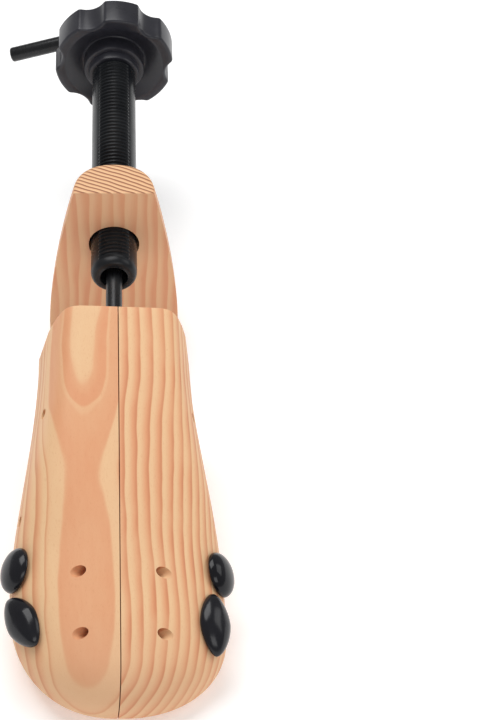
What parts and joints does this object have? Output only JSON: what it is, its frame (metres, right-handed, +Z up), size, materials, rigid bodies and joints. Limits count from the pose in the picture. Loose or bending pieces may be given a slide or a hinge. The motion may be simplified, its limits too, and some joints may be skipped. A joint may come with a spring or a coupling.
{
  "type": "two-way shoe tree",
  "caption": "Two-way shoe tree: a split wooden forepart that a handle spreads, and a wooden heel block that a knob moves along a hollow screw to set the length.",
  "frame": {"origin": "on the flat sole under the ball of the foot, straight below the screw axis", "axes": "+X across the shoe towards the right half, +Y from the toe towards the knob, +Z up"},
  "size_m": [0.097, 0.3659, 0.1015],
  "materials": {
    "pine_left": "smooth sanded, unvarnished",
    "pine_right": "smooth sanded, unvarnished",
    "pine_heel": "smooth sanded, unvarnished",
    "ramp_steel": "ground",
    "screw_steel": "zinc plated",
    "bearing_plastic": "moulded",
    "pin_steel": "ground",
    "spring_steel": "drawn wire",
    "wedge_brass": "machined",
    "rod_black": "black painted steel",
    "collar_steel": "turned",
    "screw_plastic": "moulded, satin",
    "knob_plastic": "moulded, satin",
    "nut_plastic": "moulded",
    "plug_plastic": "moulded, smooth"
  },
  "bodies": {
    "spreader": {"rear_bearing": "bearing_plastic", "front_bearing": "bearing_plastic", "rear_guide_pin": "pin_steel", "front_guide_pin": "pin_steel"},
    "half_left": {"forepart_left": "pine_left", "ramp_left": "ramp_steel", "ramp_screws_left": "screw_steel", "closing_springs_left": "spring_steel"},
    "half_right": {"forepart_right": "pine_right", "ramp_right": "ramp_steel", "ramp_screws_right": "screw_steel", "closing_springs_right": "spring_steel"},
    "wedge": {"wedge_nut": "wedge_brass"},
    "spindle": {"spindle": "rod_black", "thrust_collars": "collar_steel", "stop_collar": "collar_steel", "rear_washer": "collar_steel"},
    "knob": {"length_screw": "screw_plastic", "knob": "knob_plastic"},
    "heel": {"heel_block": "pine_heel", "heel_nut": "nut_plastic", "heel_nut_screws": "screw_steel"},
    "round_plug_left": {"round_plug_left": "plug_plastic"},
    "almond_plug_left": {"almond_plug_left": "plug_plastic"},
    "round_plug_right": {"round_plug_right": "plug_plastic"},
    "almond_plug_right": {"almond_plug_right": "plug_plastic"}
  },
  "joints": [
    {"name": "open_left", "type": "slide", "parent": "spreader", "child": "half_left", "axis": [-1, 0, 0], "range_m": [0, 0.01], "deforming": ["closing_springs_left"]},
    {"name": "open_right", "type": "slide", "parent": "spreader", "child": "half_right", "axis": [1, 0, 0], "range_m": [0, 0.01], "deforming": ["closing_springs_right"]},
    {"name": "wedge_slide", "type": "slide", "parent": "spreader", "child": "wedge", "axis": [0, 0.9925, 0.1219], "range_m": [0, 0.02]},
    {"name": "handle_turn", "type": "hinge", "parent": "spreader", "child": "spindle", "pos_m": [0, 0.30645, 0.07535], "axis": [0, -0.9925, -0.1219], "range_deg": [0, 3600]},
    {"name": "knob_turn", "type": "hinge", "parent": "spreader", "child": "knob", "pos_m": [0, 0.28858, 0.07315], "axis": [0, -0.9925, -0.1219], "range_deg": [-3240, 7200]},
    {"name": "heel_slide", "type": "slide", "parent": "spreader", "child": "heel", "axis": [0, 0.9925, 0.1219], "range_m": [-0.01981, 0.04401]},
    {"name": "round_plug_left_pull", "type": "slide", "parent": "half_left", "child": "round_plug_left", "axis": [-0.8618, -0.1011, 0.4971], "range_m": [0, 0.012]},
    {"name": "almond_plug_left_pull", "type": "slide", "parent": "half_left", "child": "almond_plug_left", "axis": [-0.7013, -0.3389, 0.6271], "range_m": [0, 0.012]},
    {"name": "round_plug_right_pull", "type": "slide", "parent": "half_right", "child": "round_plug_right", "axis": [0.8809, -0.0777, 0.4669], "range_m": [0, 0.012]},
    {"name": "almond_plug_right_pull", "type": "slide", "parent": "half_right", "child": "almond_plug_right", "axis": [0.68, -0.2571, 0.6867], "range_m": [0, 0.012]}
  ],
  "couplings": [
    {"joint": "open_left", "follows": "handle_turn", "m_per_rad": 0.00015915},
    {"joint": "open_right", "follows": "handle_turn", "m_per_rad": 0.00015915},
    {"joint": "wedge_slide", "follows": "handle_turn", "m_per_rad": 0.0003183},
    {"joint": "heel_slide", "follows": "knob_turn", "m_per_rad": 0.00035014}
  ]
}
